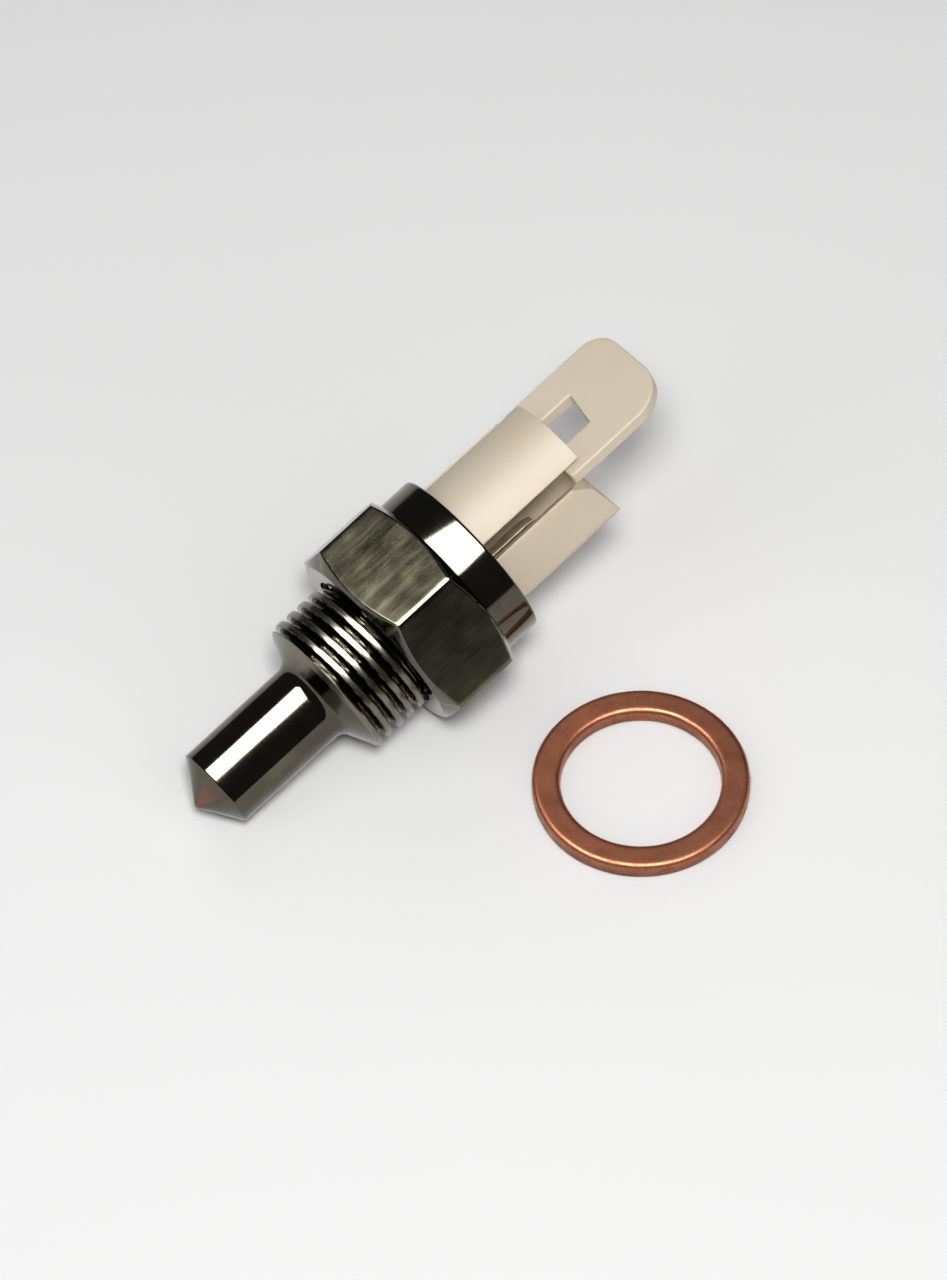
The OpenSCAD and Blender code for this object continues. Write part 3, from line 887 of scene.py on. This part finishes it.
class PROBE_OT_pins(bpy.types.Operator):
    """Makes the two square pins with tapered ends"""

    bl_idname = "probe.pins"
    bl_label = "Pins"

    def execute(self, context):
        s = context.scene.probe_connector
        p = context.scene.probe_pocket
        tin = tuple(s.tin_colour)
        material = grained("tinned_pin", shade(tin, 0.7), tin, 1.0, (0.40, 0.58), (0.8, 14, 14), 0.3)
        collar_end = p.hex_length + p.collar_length
        boss_end = collar_end - p.lip_thickness - s.boss_depth
        square = np.array([(1, 1), (-1, 1), (-1, -1), (1, -1)]) * s.pin_half
        circle = arc(s.tail_radius, 0, 2 * np.pi, 25)[:-1]
        tail = prism(circle, boss_end - s.tail_length, boss_end + EMBED)
        outline = filleted(square, [0.06 * MM] * 4, closed=True, steps=3)
        for name, side in (("left", -1), ("right", 1)):
            rings = prism(outline, boss_end, collar_end + s.pin_reach, 0.0, 0.08 * MM)
            start = collar_end + s.pin_reach - s.pin_point
            shoulder = rings[:1].copy()
            shoulder[..., 2] = start
            taper = np.clip((rings[..., 2:] - start) / s.pin_point, 0, 1)
            rings[..., :2] *= 1 - taper * (0.62, 0.25)
            rings = np.concatenate([rings[:1], shoulder, rings[1:]])
            shift = (0, side * s.pin_pitch / 2, 0)
            shells = [ring_shell(place(part + shift, ROLL), "flat") for part in (rings, tail)]
            obj = make_object(f"pin_{name}", shells, [material])
            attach(obj, "probe")
            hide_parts(f"terminal_{name}")
        return {"FINISHED"}


# -------- washer


class PROBE_OT_washer(bpy.types.Operator):
    """Makes the copper sealing washer with rounded edges and slightly uneven faces"""

    bl_idname = "probe.washer"
    bl_label = "Washer"

    def execute(self, context):
        s = context.scene.probe_washer
        centre = (WASHER_LOW + WASHER_HIGH) / 2
        outer = (WASHER_HIGH[0] - WASHER_LOW[0]) / 2
        inner = mounts["washer_bore"]["dims"]["r_mm"] * MM
        height = WASHER_HIGH[2] - WASHER_LOW[2]
        corners = [(inner, 0), (outer, 0), (outer, height), (inner, height)]
        section = filleted(corners, [s.edge] * 4, closed=True, steps=8)
        flat_radius = np.linspace(inner + s.edge, outer - s.edge, 8)[-2:0:-1]
        flat_top = np.stack([flat_radius, np.full(len(flat_radius), height)], -1)
        split = len(section) - 9
        section = np.concatenate([section[:split], flat_top, section[split:]])
        angle = np.arange(256) * 2 * np.pi / 256
        radius = section[:, 0:1] * np.ones_like(angle)
        z = section[:, 1:2] * np.ones_like(angle)
        upper = np.clip(z / height * 2 - 1, 0, 1)
        wave = np.sin(3 * angle + 0.7) + 0.6 * np.sin(7 * angle + 2.1)
        wave = wave + 0.4 * np.sin(13 * angle + radius / MM * 2)
        z = z - s.waviness * upper * (1.6 + wave * 0.8)
        radius = radius - s.waviness * 0.5 * (1 + np.sin(5 * angle + 1.0)) * (radius > (inner + outer) / 2)
        points = np.stack([radius * np.cos(angle), radius * np.sin(angle), z], -1)
        points = points + np.array([centre[0], centre[1], WASHER_LOW[2]])
        material = stamped_copper(tuple(s.copper_colour), tuple(s.oxide_colour))
        obj = make_object("copper_washer", [ring_shell(points, "loop")], [material])
        middle = (inner + outer) / 2
        edge = np.clip((np.abs(radius - middle) / (outer - inner) * 2 - 0.68) / 0.2, 0, 1)
        set_attribute(obj, "edge_wear_and_highlight", (edge * np.clip(z / height * 3 - 1.6, 0, 1)).ravel())
        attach(obj, "washer")
        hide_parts("sealing_washer")
        return {"FINISHED"}


# -------- inner pieces


class PROBE_OT_inner(bpy.types.Operator):
    """Gives the sealed inner pieces their finishes"""

    bl_idname = "probe.inner"
    bl_label = "Inner pieces"

    def execute(self, context):
        # base colour, metallic, roughness, grains to a millimetre
        finishes = {
            "seal_rubber": ((0.025, 0.025, 0.027), 0.0, 0.75, 9),
            "crimp_metal": ((0.62, 0.55, 0.38), 1.0, 0.35, 12),
            "lead_wire": ((0.60, 0.55, 0.46), 1.0, 0.30, 20),
            "lead_insulation": ((0.80, 0.78, 0.70), 0.0, 0.55, 10),
            "liner_film": ((0.52, 0.24, 0.05), 0.0, 0.25, 3),
            "chip_ceramic": ((0.09, 0.095, 0.10), 0.0, 0.6, 14),
            "bead_resin": ((0.02, 0.02, 0.024), 0.0, 0.18, 5),
            "heat_paste": ((0.72, 0.73, 0.74), 0.0, 0.7, 6),
            "potting_resin": ((0.018, 0.018, 0.022), 0.0, 0.3, 4),
        }
        made = {}
        for slot, (base, metallic, roughness, grain) in finishes.items():
            span = (roughness * 0.8, min(1.0, roughness * 1.2))
            made[slot] = grained(slot, shade(base, 0.8), shade(base, 1.12), metallic, span, (grain,) * 3)
        for entry in frame["record"]["subparts"]:
            slot = entry["material_slot"]
            if slot not in made:
                continue
            node = frame["nodes"][entry["node"]]
            node.data.materials.clear()
            node.data.materials.append(made[slot])
        return {"FINISHED"}


# -------- stage


def area_light(name, position, aim, size, power, glossy, diffuse):
    """A rectangular light that faces a point and shows in glossy reflections, on matt surfaces, or both."""
    light = bpy.data.lights.new(name, "AREA")
    light.shape = "RECTANGLE"
    light.size, light.size_y = size
    light.energy = power
    obj = bpy.data.objects.new(name, light)
    bpy.context.scene.collection.objects.link(obj)
    obj.location = position
    obj.rotation_euler = (Vector(aim) - Vector(position)).to_track_quat("-Z", "Y").to_euler()
    obj.visible_glossy = glossy
    obj.visible_diffuse = diffuse
    obj.visible_camera = False


def table_material(base):
    """Pale table top with a barely visible mottle."""
    finish = Finish("table_top", base, 0.0, 0.9, probe_space=False)
    cloud = finish.noise((0.03, 0.03, 0.03), detail=2)
    finish.use("Base Color", finish.ramp(cloud, [(0.3, shade(base, 0.99)), (0.7, base)]))
    return finish.material


class PROBE_OT_stage(bpy.types.Operator):
    """Sets up the table, the lights, the dim room and the camera"""

    bl_idname = "probe.stage"
    bl_label = "Stage"

    def execute(self, context):
        s = context.scene.probe_stage
        p = context.scene.probe_pocket
        mesh = bpy.data.meshes.new("table")
        corner = 1.5
        square = [(-corner, -corner, 0), (corner, -corner, 0), (corner, corner, 0), (-corner, corner, 0)]
        mesh.from_pydata(square, [], [(0, 1, 2, 3)])
        mesh.materials.append(table_material(tuple(s.table_colour)))
        table = bpy.data.objects.new("table", mesh)
        context.scene.collection.objects.link(table)

        level = Vector((np.cos(s.azimuth), np.sin(s.azimuth), 0))
        forward = Vector((-level.y, level.x, 0))
        back = Vector((0, 0, np.sin(s.elevation))) - forward * np.cos(s.elevation)
        steep = back.cross(level)
        right = level * np.cos(s.roll) + steep * np.sin(s.roll)
        up = back.cross(right)
        nose = Vector(ORIGIN - AXIS * p.pocket_length)
        target = nose + right * s.nose_left + up * s.nose_below
        camera = bpy.data.cameras.new("camera")
        camera.sensor_fit = "VERTICAL"
        camera.sensor_height = 36
        camera.lens = camera.sensor_height * s.distance / s.view_height
        camera.clip_start = 0.01
        obj = bpy.data.objects.new("camera", camera)
        context.scene.collection.objects.link(obj)
        obj.location = target + back * s.distance
        obj.rotation_euler = Matrix((right, up, back)).transposed().to_euler()
        context.scene.camera = obj

        middle = Vector((0, 0, 0.005))
        above = middle + Vector((-0.04, -0.02, 0.30))
        area_light("softbox_glints", above, middle, (0.36, 0.14), 2.6, True, False)
        beside = middle + back * 0.28 + Vector((0, 0, 0.08))
        area_light("softbox", beside, middle, (0.08, 0.08), 0.95, False, True)
        fills = {"front": (0.05, -0.5, 0.35), "left": (-0.5, 0.1, 0.4), "back": (0.2, 0.55, 0.4)}
        for name, offset in fills.items():
            area_light(f"{name}_fill", middle + Vector(offset), middle, (0.5, 0.5), 0.65, False, True)
        world = bpy.data.worlds.new("dim_room")
        world.use_nodes = True
        background = world.node_tree.nodes["Background"]
        background.inputs["Color"].default_value = (*s.room_colour, 1)
        background.inputs["Strength"].default_value = 0.2
        context.scene.world = world
        context.scene.view_settings.view_transform = "Standard"
        return {"FINISHED"}


# -------- add-on


class PROBE_PT_panel(bpy.types.Panel):
    """Lists the probe's pieces and their sizes"""

    bl_idname = "PROBE_PT_panel"
    bl_label = "Immersion probe"
    bl_space_type = "VIEW_3D"
    bl_region_type = "UI"
    bl_category = "Probe"

    def draw(self, context):
        for operator, group in PIECES:
            box = self.layout.box()
            box.operator(operator.bl_idname)
            if group:
                settings = getattr(context.scene, group)
                for name in settings.__annotations__:
                    box.prop(settings, name)


PIECES = (
    (PROBE_OT_pocket, "probe_pocket"),
    (PROBE_OT_connector, "probe_connector"),
    (PROBE_OT_pins, None),
    (PROBE_OT_washer, "probe_washer"),
    (PROBE_OT_inner, None),
    (PROBE_OT_stage, "probe_stage"),
)
GROUPS = {
    "probe_pocket": PocketSizes,
    "probe_connector": ConnectorSizes,
    "probe_washer": WasherSizes,
    "probe_stage": StageSizes,
}


def register():
    """Adds the settings, the operators and the panel."""
    for name, group in GROUPS.items():
        bpy.utils.register_class(group)
        setattr(bpy.types.Scene, name, PointerProperty(type=group))
    for operator, _ in PIECES:
        bpy.utils.register_class(operator)
    bpy.utils.register_class(PROBE_PT_panel)


def unregister():
    """Takes everything off again."""
    bpy.utils.unregister_class(PROBE_PT_panel)
    for operator, _ in reversed(PIECES):
        bpy.utils.unregister_class(operator)
    for name, group in reversed(GROUPS.items()):
        delattr(bpy.types.Scene, name)
        bpy.utils.unregister_class(group)


def main():
    """Makes every piece in order."""
    register()
    bpy.ops.probe.pocket()
    bpy.ops.probe.connector()
    bpy.ops.probe.pins()
    bpy.ops.probe.washer()
    bpy.ops.probe.inner()
    bpy.ops.probe.stage()


if __name__ == "__main__":
    main()
